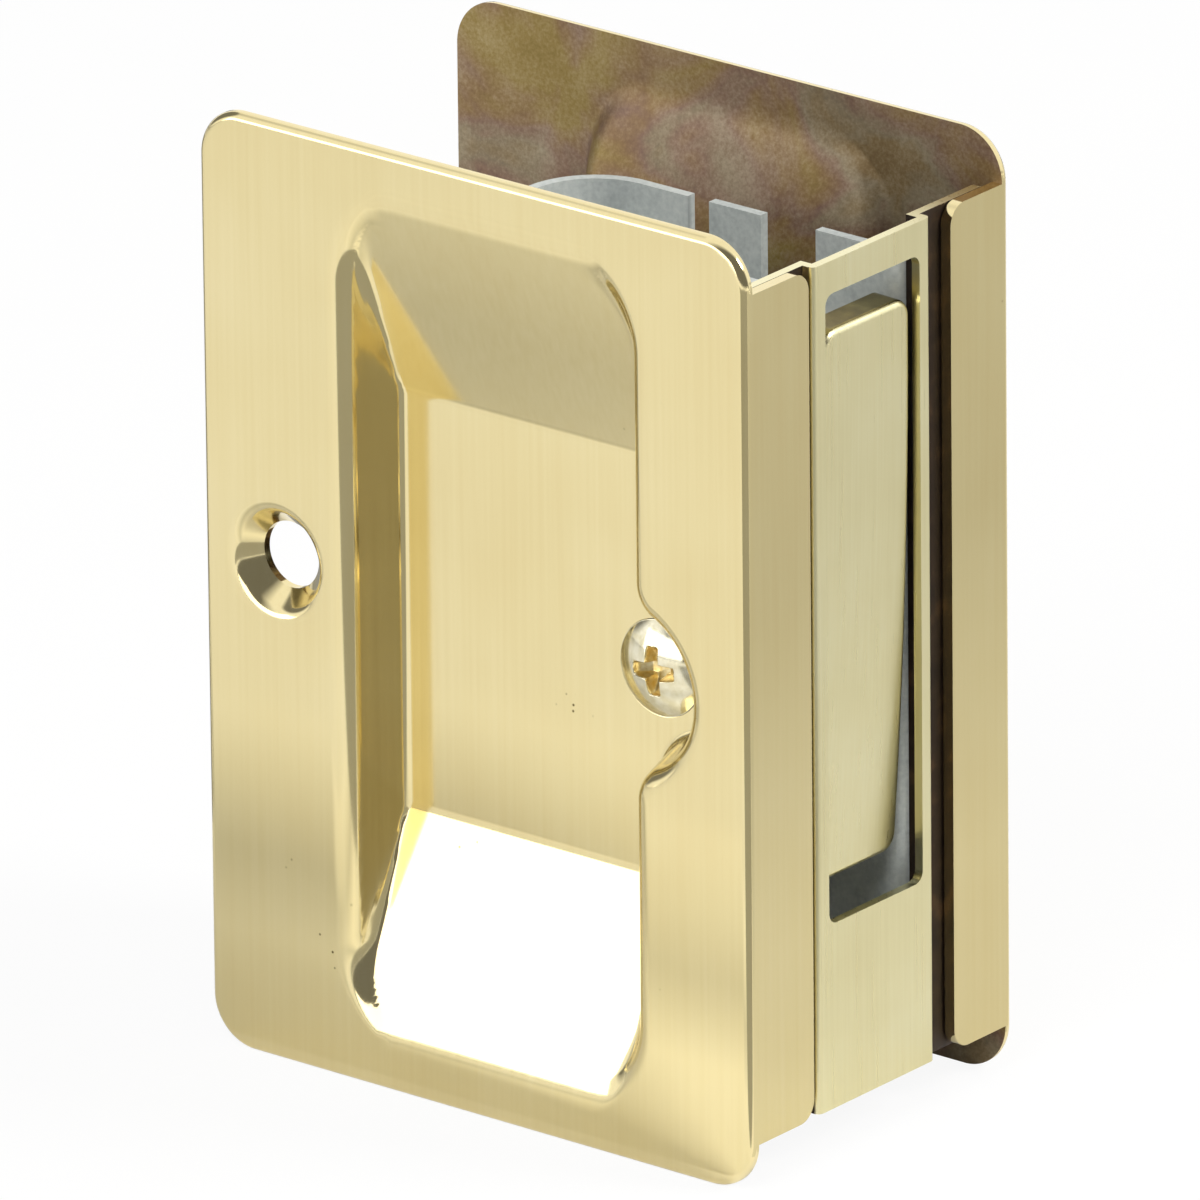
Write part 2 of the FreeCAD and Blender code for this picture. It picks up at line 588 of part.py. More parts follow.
# Clamp screw: oval head, cone, shank with a pointed end, cross recess; +Z out of the head
def clamp_screw(side):
    body = new_body(f"{side}_clamp_screw")
    half = new_sketch(body, "XZ_Plane", f"{side}_screw_half")
    head, crown = value("screw_head"), value("screw_crown")
    cone = "((screw_head - screw_shank) / tan(sink_half_angle * 1deg))"
    tip = "(screw_shank / 2)"
    ball = (head ** 2 + crown ** 2) / (2 * crown)
    rim = math.asin((ball - crown) / ball)
    arc = Part.ArcOfCircle(Part.Circle(Vector(0, crown - ball, 0), Vector(0, 0, 1), ball), rim, math.pi / 2)
    half.addGeometry(arc)
    corners = [("0", "screw_crown"), ("0", "-screw_length"), (tip, "-screw_length"),
               ("screw_shank", f"-screw_length + {tip}"), ("screw_shank", f"-{cone}"), ("screw_head", "0")]
    spots = [Vector(value(across), value(up), 0) for across, up in corners]
    for start, stop in zip(spots, spots[1:]):
        half.addGeometry(Part.LineSegment(start, stop))
    last = len(spots) - 1
    for line in range(last):
        half.addConstraint(Sketcher.Constraint("Coincident", line, 2, line + 1, 1))
    half.addConstraint(Sketcher.Constraint("Coincident", last, 2, 0, 1))
    for line, (across, up) in enumerate(corners[:-1], start=1):
        hold(half, line, 1, across, up)
    hold(half, last, 2, *corners[-1])
    half.addConstraint(Sketcher.Constraint("PointOnObject", 0, 3, -2))
    turned = body.newObject("PartDesign::Revolution", f"{side}_screw_turned")
    turned.Profile = half
    turned.ReferenceAxis = (half, ["V_Axis"])
    turned.Angle = 360
    doc.recompute()
    cross = new_sketch(body, "XY_Plane", f"{side}_screw_cross", offset="screw_crown")
    near, wing = "(driver_slot / 2)", "driver_wing"
    quarter = [(wing, f"-{near}"), (wing, near), (near, near)]
    outline = []
    for _ in range(4):
        outline += quarter
        quarter = [(f"-({up})", across) for across, up in quarter]
    polygon(cross, outline)
    pocket(body, cross, "driver_depth")
    return body


front_screw = clamp_screw("front")
front_screw.Placement = Placement(Vector(), Rotation(Vector(1, 0, 0), 90))
back_screw = clamp_screw("back")
back_screw.Placement = Placement(Vector(), Rotation(Vector(1, 0, 0), -90))
for screw, sign in ((front_screw, "-"), (back_screw, "")):
    bind(screw, Placement__Base__x="plate_width / 2 - screw_from_edge",
         Placement__Base__y=f"{sign}({OVERALL_DEPTH} / 2 - cup_depth)", Placement__Base__z=HALF_HEIGHT)
clamp_screws = doc.addObject("Part::Compound", "clamp_screws")
clamp_screws.Links = [front_screw, back_screw]
clamp_screws.Label = "clamp_screws"

subparts = [front_plate, back_plate, edge_plate(), chassis_strap(), edge_pull(), pivot_pin(), clamp_screws]
solids_wanted = {"clamp_screws": 2}

doc.recompute()
for thing in doc.Objects:
    if "Invalid" in thing.State or "Error" in thing.State:
        raise RuntimeError(f"{thing.Name} did not build: {thing.State}")
os.makedirs("parts", exist_ok=True)
for part in subparts:
    shape = part.Shape
    if shape.isNull() or not shape.isValid():
        raise RuntimeError(f"{part.Label} has no valid shape")
    if len(shape.Solids) != solids_wanted.get(part.Label, 1):
        raise RuntimeError(f"{part.Label} has {len(shape.Solids)} solids")
for part in subparts:
    part.Shape.exportStep(f"parts/{part.Label}.step")
    print(part.Label, round(part.Shape.Volume, 1), part.Shape.BoundBox)
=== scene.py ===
import json
import math

import bmesh
import bpy
import numpy as np
from mathutils import Matrix, Vector

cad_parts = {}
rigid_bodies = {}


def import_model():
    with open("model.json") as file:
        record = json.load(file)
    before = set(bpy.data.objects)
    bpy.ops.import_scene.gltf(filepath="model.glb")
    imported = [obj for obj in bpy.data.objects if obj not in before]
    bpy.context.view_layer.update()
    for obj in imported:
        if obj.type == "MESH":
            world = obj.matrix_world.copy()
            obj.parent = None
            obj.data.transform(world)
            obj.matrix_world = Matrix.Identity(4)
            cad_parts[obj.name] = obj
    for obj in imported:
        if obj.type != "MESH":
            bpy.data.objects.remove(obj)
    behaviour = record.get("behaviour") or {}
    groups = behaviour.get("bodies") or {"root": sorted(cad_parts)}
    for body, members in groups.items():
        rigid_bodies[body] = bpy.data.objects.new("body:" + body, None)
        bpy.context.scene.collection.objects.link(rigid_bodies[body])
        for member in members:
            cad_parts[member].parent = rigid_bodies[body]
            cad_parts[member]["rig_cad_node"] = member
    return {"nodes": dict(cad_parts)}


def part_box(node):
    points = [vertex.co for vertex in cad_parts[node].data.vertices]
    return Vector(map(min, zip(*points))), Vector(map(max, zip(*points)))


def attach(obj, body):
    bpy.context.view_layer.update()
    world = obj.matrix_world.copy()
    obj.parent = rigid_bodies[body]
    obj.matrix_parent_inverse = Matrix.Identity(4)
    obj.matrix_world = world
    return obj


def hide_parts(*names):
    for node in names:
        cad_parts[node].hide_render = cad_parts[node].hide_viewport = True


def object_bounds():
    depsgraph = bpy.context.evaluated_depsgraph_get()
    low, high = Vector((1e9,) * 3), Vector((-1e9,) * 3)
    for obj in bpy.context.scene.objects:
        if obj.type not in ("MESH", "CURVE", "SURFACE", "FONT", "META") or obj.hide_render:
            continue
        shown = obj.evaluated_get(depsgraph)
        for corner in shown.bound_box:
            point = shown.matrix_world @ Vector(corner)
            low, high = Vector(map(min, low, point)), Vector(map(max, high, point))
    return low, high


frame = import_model()
packed_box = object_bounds()


# Chassis strap: the U-shaped strip inside the door that everything is screwed or welded to.
# Cold-rolled steel, blanked with its notches, bent round a former and then zinc plated.
def linear(code):
    """Linear colour of an sRGB hex code: the standard's curve on each of the three parts."""
    part = np.array([int(code[k:k + 2], 16) for k in (1, 3, 5)]) / 255.0
    curve = np.where(part <= 0.04045, part / 12.92, ((part + 0.055) / 1.055) ** 2.4)
    return (*curve.tolist(), 1.0)


def node(tree, kind, inputs=None, stops=(), **settings):
    """Adds a shader node with its settings and its inputs: a value, or another node's output.
    A colour ramp's stops are pairs of a position and a hex code."""
    made = tree.nodes.new(kind)
    for name, setting in settings.items():
        setattr(made, name, setting)
    for socket, source in (inputs or {}).items():
        if isinstance(source, bpy.types.NodeSocket):
            tree.links.new(source, made.inputs[socket])
        else:
            made.inputs[socket].default_value = source
    for _ in stops[2:]:
        made.color_ramp.elements.new(0.5)
    for k, (at, code) in enumerate(stops):
        made.color_ramp.elements[k].position = at
        made.color_ramp.elements[k].color = linear(code)
    return made


def new_material(name):
    """A material, its emptied node tree, and the place on the piece in metres."""
    made = bpy.data.materials.new(name)
    made.use_nodes = True
    tree = made.node_tree
    tree.nodes.clear()
    return made, tree, node(tree, "ShaderNodeTexCoord").outputs["Object"]


def rounded_copy(name, solid, turn, material, body):
    """The solid's own triangles, doubles merged, shaded smooth where neighbours turn by less
    than turn degrees."""
    mesh = solid.data.copy()
    mesh.name = name
    work = bmesh.new()
    work.from_mesh(mesh)
    bmesh.ops.remove_doubles(work, verts=work.verts, dist=1e-6)
    work.to_mesh(mesh)
    work.free()
    mesh.materials.clear()
    mesh.materials.append(material)
    mesh.polygons.foreach_set("material_index", np.zeros(len(mesh.polygons), np.int32))
    mesh.shade_smooth()
    mesh.set_sharp_from_angle(angle=math.radians(turn))
    copy = bpy.data.objects.new(name, mesh)
    bpy.context.scene.collection.objects.link(copy)
    even = copy.modifiers.new("even_shading", "WEIGHTED_NORMAL")
    even.keep_sharp = True
    even.weight = 50
    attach(copy, body)
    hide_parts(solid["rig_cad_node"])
    return copy


# Zinc plate, barrel finish: a blue-grey that scatters light more than it mirrors it, with a
# grain of small crystals and cloudy patches.
zinc, tree, place = new_material("zinc_plated_steel")
grain = node(tree, "ShaderNodeTexNoise", {"Vector": place, "Scale": 1 / 0.00045, "Detail": 3.0})
cloud = node(tree, "ShaderNodeTexNoise", {"Vector": place, "Scale": 1 / 0.006, "Detail": 2.0})
tone = node(tree, "ShaderNodeMix", {
    "Factor": 0.45, "A": cloud.outputs["Fac"], "B": grain.outputs["Fac"]}, data_type="FLOAT")
shade = node(tree, "ShaderNodeValToRGB", {"Fac": tone.outputs["Result"]},
             stops=[(0.3, "#A9AFAF"), (0.5, "#C2C8C6"), (0.72, "#D8DCD8")])
rough = node(tree, "ShaderNodeMapRange", {
    "Value": grain.outputs["Fac"], "To Min": 0.34, "To Max": 0.5})
relief = node(tree, "ShaderNodeBump", {
    "Height": grain.outputs["Fac"], "Strength": 0.2, "Distance": 0.00001})
metal = node(tree, "ShaderNodeBsdfPrincipled", {
    "Base Color": shade.outputs["Color"], "Metallic": 0.15,
    "Roughness": rough.outputs["Result"], "Normal": relief.outputs["Normal"]})
node(tree, "ShaderNodeOutputMaterial", {"Surface": metal.outputs["BSDF"]})
rounded_copy("strap_zinc", frame["nodes"]["chassis_strap"], 32, zinc, "housing")


# Pivot pin: the short steel pin that the edge pull rocks on, headed over outside both legs.
# Cut from drawn wire, so it is bright with fine marks round it.
wire, tree, place = new_material("bright_drawn_steel")
along = node(tree, "ShaderNodeMapping", {
    "Vector": place, "Scale": (1 / 0.002, 1 / 0.0002, 1 / 0.002)})
marks = node(tree, "ShaderNodeTexNoise", {"Vector": along.outputs["Vector"], "Scale": 1.0})
shade = node(tree, "ShaderNodeValToRGB", {"Fac": marks.outputs["Fac"]},
             stops=[(0.3, "#9A9A96"), (0.7, "#C2C2BE")])
metal = node(tree, "ShaderNodeBsdfPrincipled", {
    "Base Color": shade.outputs["Color"], "Metallic": 1.0, "Roughness": 0.32})
node(tree, "ShaderNodeOutputMaterial", {"Surface": metal.outputs["BSDF"]})
rounded_copy("pin_bright", frame["nodes"]["pivot_pin"], 32, wire, "housing")


# Edge pull: the shallow brass pan in the window. Press one end in and the other comes out
# to be gripped. Drawn from sheet, its face satin finished along its length and lacquered.
def polygon_rows(mesh, kind):
    """Each polygon's normal or center, one row of three for each polygon."""
    values = np.empty(3 * len(mesh.polygons), np.float32)
    mesh.polygons.foreach_get(kind, values)
    return values.reshape(-1, 3)


# Satin brass: pale and slightly green, with fine upright lines that draw reflections out.
satin, tree, place = new_material("satin_brass")
along = node(tree, "ShaderNodeMapping", {
    "Vector": place, "Scale": (1 / 0.0004, 1 / 0.00035, 1 / 0.02)})
lines = node(tree, "ShaderNodeTexNoise", {
    "Vector": along.outputs["Vector"], "Scale": 1.0, "Detail": 3.0})
cloud = node(tree, "ShaderNodeTexNoise", {"Vector": place, "Scale": 1 / 0.012, "Detail": 2.0})
tone = node(tree, "ShaderNodeMix", {
    "Factor": 0.4, "A": cloud.outputs["Fac"], "B": lines.outputs["Fac"]}, data_type="FLOAT")
shade = node(tree, "ShaderNodeValToRGB", {"Fac": tone.outputs["Result"]},
             stops=[(0.3, "#E6DDAF"), (0.5, "#ECE4B8"), (0.7, "#F1EBC4")])
rough = node(tree, "ShaderNodeMapRange", {
    "Value": lines.outputs["Fac"], "To Min": 0.24, "To Max": 0.34})
relief = node(tree, "ShaderNodeBump", {
    "Height": lines.outputs["Fac"], "Strength": 0.04, "Distance": 0.000002})
metal = node(tree, "ShaderNodeBsdfPrincipled", {
    "Base Color": shade.outputs["Color"], "Metallic": 1.0,
    "Roughness": rough.outputs["Result"], "Normal": relief.outputs["Normal"]})
node(tree, "ShaderNodeOutputMaterial", {"Surface": metal.outputs["BSDF"]})
pull = rounded_copy("pull_satin", frame["nodes"]["edge_pull"], 40, satin, "edge_pull")

# The pan's walls, as they left the drawing die: smooth, with no lines, in a dull dark olive that
# is painted reflection, standing in for the dark inside of the case that they mirror.
painted_wall_reflection, tree, place = new_material("pull_walls_painted_reflection")
wall_reflection_mottle = node(tree, "ShaderNodeTexNoise", {"Vector": place, "Scale": 1 / 0.002, "Detail": 3.0})
shade = node(tree, "ShaderNodeValToRGB", {"Fac": wall_reflection_mottle.outputs["Fac"]},
             stops=[(0.3, "#6E6236"), (0.7, "#94864E")])
metal = node(tree, "ShaderNodeBsdfPrincipled", {
    "Base Color": shade.outputs["Color"], "Metallic": 1.0, "Roughness": 0.26})
node(tree, "ShaderNodeOutputMaterial", {"Surface": metal.outputs["BSDF"]})
# A face stands along an axis when its normal has less than this along it.
STEEP = 0.5
# Painted reflection: the pan's steep walls take the dark olive.
pull.data.materials.append(painted_wall_reflection)
walls = np.abs(polygon_rows(pull.data, "normal")[:, 0]) < STEEP
pull.data.polygons.foreach_set("material_index", walls.astype(np.int32))


# Edge plate: the joggled plate in the door's edge with the window for the edge pull. Its
# wings lie behind the flanges of both side plates, spot welded to the strap's feet.
edge = rounded_copy("edge_satin", frame["nodes"]["edge_plate"], 32, satin, "housing")

# Brass as rolled, with painted shade: the wings and the inner side sit in dark grooves behind the
# side plates' flanges, and this near-black brown, blotched and with no shine left, stands in for
# the shade there.
painted_wing_shade, tree, place = new_material("painted_wing_shade_brass")
wing_shade_blotch = node(tree, "ShaderNodeTexNoise", {"Vector": place, "Scale": 1 / 0.003, "Detail": 4.0})
shade = node(tree, "ShaderNodeValToRGB", {"Fac": wing_shade_blotch.outputs["Fac"]},
             stops=[(0.3, "#2A211D"), (0.55, "#3A2D24"), (0.75, "#5A4430")])
metal = node(tree, "ShaderNodeBsdfPrincipled", {
    "Base Color": shade.outputs["Color"], "Metallic": 0.6, "Roughness": 0.45})
node(tree, "ShaderNodeOutputMaterial", {"Surface": metal.outputs["BSDF"]})
# The wings and the inner side lie this far, in metres, behind the plate's face.
STEP_BACK = 0.0009
# Painted shade: the upright faces set back behind the face, which are the wings and the inner
# side, take the near-black brown.
edge.data.materials.append(painted_wing_shade)
set_back = polygon_rows(edge.data, "center")[:, 0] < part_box("edge_plate")[1].x - STEP_BACK
upright = np.abs(polygon_rows(edge.data, "normal")[:, 2]) < STEEP
edge.data.polygons.foreach_set("material_index", (set_back & upright).astype(np.int32))


# Side plates: one brass stamping, used twice, the back one turned over. A finger cup with
# sloped ends is drawn into it, its front edge turns round the door's edge as a flange, and
# a dimpled hole takes a wood screw. Polished and lacquered outside, as it came inside.
WIDTH, DEPTH, HEIGHT = (1000 * (high - low) for low, high in zip(*packed_box))
SHEET, CORNER, ROLL = 1.0, 4.3, 0.75
FLANGE, FLANGE_CORNER, DRAWN_UP = 7.85, 1.8, 0.45
FLANGE_TOP = HEIGHT / 2 - CORNER
CUP_LEFT, CUP_RIGHT, CUP_TOP = 14.85, 45.1, HEIGHT / 2 - 4.2
CUP_DEPTH, CUP_CORNER = 6.0, 8.0
RAMP, RAMP_LIP, RAMP_FOOT = 18.85, 8.0, 2.5
DRAFT, WALL_LIP, WALL_FOOT = math.radians(15), 2.0, 0.8
CREASE, CREASE_RUN, SHALLOW = 0.8, 0.6, 0.6
SCREW_X, ROOM, ROOM_BLEND, BLEND_IN = 43.3, 7.65, 3.0, 2.6
HOLE_X, HOLE_Z, HOLE_BORE, HOLE_MOUTH, HOLE_LIP = 7.7, 2.95, 2.9, 4.65, 1.5
SEAT_BORE, SEAT_MOUTH, LAND = 2.1, 4.25, 0.7
SINK = math.radians(41)
TINY = 1e-9


def spread(stops, steps):
    """Grid lines from stop to stop, each run in equal steps no longer than the one asked."""
    counts = [math.ceil((b - a) / s - TINY) for a, b, s in zip(stops, stops[1:], steps)]
    runs = [np.linspace(a, b, n + 1)[:-1] for a, b, n in zip(stops, stops[1:], counts)]
    return np.append(np.concatenate(runs), stops[-1])


def bent(along, angle, radius):
    """Depth of a slope that leaves a flat at along = 0: flat, then an arc of radius, then a
    straight slope of angle."""
    tangent = radius * math.tan(angle / 2)
    over = np.clip(along + tangent, 0, radius)
    arc = radius - np.sqrt(np.maximum(radius ** 2 - over ** 2, 0))
    return np.where(along < tangent * math.cos(angle), arc, along * math.tan(angle))


def drawn(along, angle, lip, floor, depth):
    """bent() at the lip and, turned over, at the foot where it meets a floor at depth."""
    foot = depth / math.tan(angle)
    rise = depth - bent(foot - along, angle, floor)
    return np.where(along < foot / 2, bent(along, angle, lip), rise)


def inside_cup(x, z):
    """Distance inside the cup's mouth: a rounded rectangle joined to the screw's round room
    by two round blends."""
    cx, half = (CUP_LEFT + CUP_RIGHT) / 2, (CUP_RIGHT - CUP_LEFT) / 2 - CUP_CORNER
    over_x, over_z = np.abs(x - cx) - half, np.abs(z) - (CUP_TOP - CUP_CORNER)
    past_corner = np.hypot(np.maximum(over_x, 0), np.maximum(over_z, 0))
    box = CUP_CORNER - past_corner - np.minimum(np.maximum(over_x, over_z), 0)
    room = ROOM - np.hypot(x - SCREW_X, z)
    bx, reach = CUP_RIGHT + ROOM_BLEND, ROOM + ROOM_BLEND
    bz = math.sqrt(reach ** 2 - (bx - SCREW_X) ** 2)
    u, v = x - bx, np.abs(z) - bz
    wedge = (v < 0) & (u * bz - v * (bx - SCREW_X) < 0) & (x > CUP_RIGHT - BLEND_IN)
    return np.where(wedge, np.hypot(u, v) - ROOM_BLEND, np.maximum(box, room))


def ramp_depth(z):
    """Depth of the end ramps alone: drawn() from the cup's top and bottom towards mid height."""
    slope = math.atan2(CUP_DEPTH, RAMP)
    return drawn(CUP_TOP - np.abs(z), slope, RAMP_LIP, RAMP_FOOT, CUP_DEPTH)


def plate_depth(x, z):
    """Depth of the drawn face: the lesser of side walls and end ramps, with the two dimples
    sunk into it. The crease between wall and ramp is softened by a parabola. Where both are
    shallow it turns into one over the root of the sum of their inverse squares."""
    wall = drawn(inside_cup(x, z), math.pi / 2 - DRAFT, WALL_LIP, WALL_FOOT, CUP_DEPTH)
    ends = ramp_depth(z)
    least, most = np.minimum(wall, ends), np.maximum(wall, ends)
    above = CUP_DEPTH - most
    soft = CREASE * least / (least + CREASE_RUN) * np.clip(above / CREASE_RUN, 0, 1) + TINY
    creased = least - np.maximum(soft - (most - least), 0) ** 2 / (4 * soft)
    rounder = least / np.sqrt(1 + (least / (most + TINY)) ** 2)
    shallow = np.clip(above / (SHALLOW * CUP_DEPTH), 0, 1)
    cup = creased + (rounder - creased) * shallow ** 2 * (3 - 2 * shallow)
    hole = bent(HOLE_MOUTH - np.hypot(x - HOLE_X, z - HOLE_Z), math.pi / 2 - SINK, HOLE_LIP)
    seat = CUP_DEPTH + (SEAT_MOUTH - np.hypot(x - SCREW_X, z)) / math.tan(SINK)
    return np.maximum(cup, np.maximum(hole, np.where(seat > CUP_DEPTH, seat, 0)))


def rolled_depth(x, z):
    """plate_depth() plus the rolled edge: a quarter round of radius ROLL inside the outline."""
    dx = x - np.clip(x, CORNER, WIDTH - CORNER)
    dz = np.abs(z) - np.minimum(np.abs(z), FLANGE_TOP)
    inset = np.clip(CORNER - np.hypot(dx, dz), 0, ROLL)
    return plate_depth(x, z) + ROLL - np.sqrt(np.maximum(ROLL ** 2 - (ROLL - inset) ** 2, 0))


def facing(depth, x, z):
    """Outward unit normals of the surface y = depth(x, z), from its slopes."""
    e = 1e-4
    slope_x = (depth(x + e, z) - depth(x - e, z)) / (2 * e)
    slope_z = (depth(x, z + e) - depth(x, z - e)) / (2 * e)
    out = np.stack([slope_x, -np.ones_like(x), slope_z], -1)
    return out / np.linalg.norm(out, axis=-1, keepdims=True)


def weld(patches):
    """One closed mesh from grid patches (points, outward normals, material, cells kept).
    Points that agree to a tenth of a micrometre are shared, and each patch faces outwards."""
    off_step, digits = 3.3e-5, 4
    points = np.concatenate([p.reshape(-1, 3) for p, _, _, _ in patches])
    normals = np.concatenate([n.reshape(-1, 3) for _, n, _, _ in patches])
    quads, kinds, start = [], [], 0
    for grid, out, kind, keep in patches:
        rows, cols = grid.shape[:2]
        index = start + np.arange(rows * cols).reshape(rows, cols)
        cells = np.stack([index[:-1, :-1], index[1:, :-1], index[1:, 1:], index[:-1, 1:]], -1)
        cells = cells[keep] if keep is not None else cells.reshape(-1, 4)
        flat = points[cells]
        crossed = np.cross(flat[:, 2] - flat[:, 0], flat[:, 3] - flat[:, 1])
        turn = np.einsum("ij,ij->", crossed, normals[cells].sum(1))
        quads.append(cells if turn > 0 else cells[:, ::-1])
        kinds.append(np.full(len(cells), kind) if np.isscalar(kind) else kind.reshape(-1))
        start += rows * cols
    quads, kinds = np.concatenate(quads), np.concatenate(kinds)
    _, first, shared = np.unique(np.round(points + off_step, digits), axis=0,
                                 return_index=True, return_inverse=True)
    shared = shared.reshape(-1)
    fresh = shared[quads] != shared[np.roll(quads, 1, axis=1)]
    whole = fresh.sum(1) >= 3
    quads, kinds, fresh = quads[whole], kinds[whole], fresh[whole]
    return points[first], shared[quads[fresh]], fresh.sum(1), normals[quads[fresh]], kinds


def piece(name, welded, materials, body, solid):
    """A smooth mesh object from weld()'s arrays, in millimetres, in a solid's stead."""
    points, corners, sizes, normals, kinds = welded
    mesh = bpy.data.meshes.new(name)
    mesh.vertices.add(len(points))
    mesh.vertices.foreach_set("co", (points * 0.001).astype(np.float32).ravel())
    mesh.loops.add(len(corners))
    mesh.loops.foreach_set("vertex_index", corners.astype(np.int32))
    mesh.polygons.add(len(sizes))
    mesh.polygons.foreach_set("loop_start", (np.cumsum(sizes) - sizes).astype(np.int32))
    for material in materials:
        mesh.materials.append(material)
    mesh.polygons.foreach_set("material_index", kinds.astype(np.int32))
    mesh.update(calc_edges=True)
    mesh.polygons.foreach_set("use_smooth", np.ones(len(sizes), bool))
    mesh.normals_split_custom_set(normals)
    made = bpy.data.objects.new(name, mesh)
    bpy.context.scene.collection.objects.link(made)
    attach(made, body)
    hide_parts(solid)


def collar(x_lines, z_lines, centre, bore, round_to):
    """Points from a bore out to a square of grid lines: rings of growing radius, then
    straight out to the square."""
    ring_step = 0.12
    cx, cz = centre
    across, upward = len(x_lines) - 1, len(z_lines) - 1
    side_x = np.concatenate([x_lines[:-1], np.full(upward, x_lines[-1]), x_lines[:0:-1],
                             np.full(upward, x_lines[0]), x_lines[:1]])
    side_z = np.concatenate([np.full(across, z_lines[0]), z_lines[:-1],
                             np.full(across, z_lines[-1]), z_lines[:0:-1], z_lines[:1]])
    angle = np.arctan2(side_z - cz, side_x - cx)
    count = math.ceil((round_to - bore) / ring_step) + 1
    rings = np.linspace(bore, round_to, count)[:, None]
    ring_x, ring_z = cx + rings * np.cos(angle), cz + rings * np.sin(angle)
    steps = np.array([0.5, 1.0])[:, None]
    out_x = ring_x[-1] + (side_x - ring_x[-1]) * steps
    out_z = ring_z[-1] + (side_z - ring_z[-1]) * steps
    return np.vstack([ring_x, out_x]), np.vstack([ring_z, out_z])


def nearest(lines, at):
    """Index of the grid line nearest to a place."""
    return int(np.argmin(np.abs(lines - at)))


def side_plate(reach):
    """All patches of one plate in its own frame: x from the rear edge, y inwards from the
    face, z from mid height. The face is the height surface rolled_depth(), its inner side a
    sheet's thickness behind it, and the flange goes inwards as far as reach."""
    roll = ROLL * (1 - np.sin(np.linspace(math.pi / 2, 0, 7)))
    hole_box, seat_box, square_gap = 5.4, 4.6, 0.2
    lean_from, lean_to, lean_again, lean_end = 13.2, 17.6, 40.0, 47.0
    cup_end, mid_end, mid_step = 53.4, 12.0, 0.26
    row_stops = [mid_end, 16.5, 20.0, 31.0, FLANGE_TOP, 38.6, HEIGHT / 2 - ROLL]
    row_steps = [0.6, 0.25, 0.6, 0.25, 0.25, 0.5]
    spread_foot = CUP_DEPTH * math.tan(DRAFT)
    foot_left, foot_right = CUP_LEFT + spread_foot, CUP_RIGHT - spread_foot
    column_stops = [
        ROLL, HOLE_X - hole_box, HOLE_X + hole_box, foot_left, lean_to, SCREW_X - seat_box,
        foot_right, SCREW_X + seat_box, cup_end, WIDTH - SHEET, WIDTH - ROLL]
    column_steps = [0.5, 0.5, 0.17, 0.17, 1.5, 0.2, 0.2, 0.25, 0.6, 0.3]
    xs = np.concatenate([roll[:-1], spread(column_stops, column_steps), WIDTH - roll[-2::-1]])
    half = np.concatenate([spread(row_stops, row_steps), HEIGHT / 2 - roll[-2::-1]])
    middle_stops = [-mid_end, -seat_box, HOLE_Z - hole_box, seat_box, HOLE_Z + hole_box, mid_end]
    zs = np.concatenate([-half[:0:-1], spread(middle_stops, [mid_step] * 5), half[1:]])
    u, v = np.meshgrid(xs, zs, indexing="ij")
    # The square grid's corners are drawn in to the plate's round ones.
    cx, cz = np.clip(u, CORNER, WIDTH - CORNER), np.clip(v, -FLANGE_TOP, FLANGE_TOP)
    a, b = (u - cx) / CORNER, (v - cz) / CORNER
    x = cx + CORNER * a * np.sqrt(1 - b * b / 2)
    z = cz + CORNER * b * np.sqrt(1 - a * a / 2)
    # The columns at the walls' feet lean with the ramps, so the crease runs along one column.
    share = np.interp(u, [lean_from, foot_left, lean_to, lean_again, foot_right, lean_end],
                      [0, -1, 0, 0, 1, 0])
    x = x + share * (CUP_DEPTH - ramp_depth(z)) * math.tan(DRAFT)

    def skin(gx, gz):
        """Outer points and normals, and the inner points a sheet's thickness behind them."""
        outer = np.stack([gx, rolled_depth(gx, gz), gz], -1)
        out = facing(rolled_depth, gx, gz)
        flat = facing(plate_depth, gx, gz)
        inner = np.stack([gx, plate_depth(gx, gz), gz], -1) - SHEET * flat
        return outer, out, inner, -flat

    outer, out, inner, back = skin(x, z)
    keep = np.ones((len(xs) - 1, len(zs) - 1), bool)
    patches = []
    for centre, size, bore in (((HOLE_X, HOLE_Z), hole_box, HOLE_BORE),
                               ((SCREW_X, 0.0), seat_box, SEAT_BORE)):
        i0, i1 = nearest(xs, centre[0] - size), nearest(xs, centre[0] + size)
        j0, j1 = nearest(zs, centre[1] - size), nearest(zs, centre[1] + size)
        keep[i0:i1, j0:j1] = False
        gx, gz = collar(xs[i0:i1 + 1], zs[j0:j1 + 1], centre, bore, size - square_gap)
        ring_outer, ring_out, ring_inner, ring_back = skin(gx, gz)
        patches += [(ring_outer, ring_out, 0, None), (ring_inner, ring_back, 1, None)]
        # The bore's land, and the ring under it that closes the sheet.
        rim = ring_outer[0]
        foot = rim + np.array([0, LAND, 0])
        hub = np.array([centre[0], 0, centre[1]])
        inward = (hub - rim) * np.array([1, 0, 1])
        inward /= np.linalg.norm(inward, axis=1, keepdims=True)
        patches.append((np.stack([rim, foot]), np.stack([inward, inward]), 0, None))
        under = np.broadcast_to(np.array([0.0, 1.0, 0.0]), foot.shape)
        patches.append((np.stack([foot, ring_inner[0]]), np.stack([under, under]), 1, None))
    patches.append((outer, out, 0, keep))
    bend = nearest(xs, WIDTH - SHEET)
    low, high = nearest(zs, -FLANGE_TOP), nearest(zs, FLANGE_TOP)
    keep_inner = keep.copy()
    keep_inner[bend:, low:high] = False
    patches.append((inner, back, 1, keep_inner))

    # The sheet's cut edge, round the outline from one end of the flange to the other.
    rim = np.concatenate([outer[-1, high:], outer[-2::-1, -1], outer[0, -2::-1], outer[1:, 0],
                          outer[-1, 1:low + 1]])
    rim_in = rim.copy()
    rim_in[:, 1] = SHEET
    side = rim - np.stack([np.clip(rim[:, 0], CORNER, WIDTH - CORNER), rim[:, 1],
                           np.clip(rim[:, 2], -FLANGE_TOP, FLANGE_TOP)], -1)
    side /= np.linalg.norm(side, axis=1, keepdims=True)
    patches.append((np.stack([rim, rim_in]), np.stack([side, side]), 0, None))

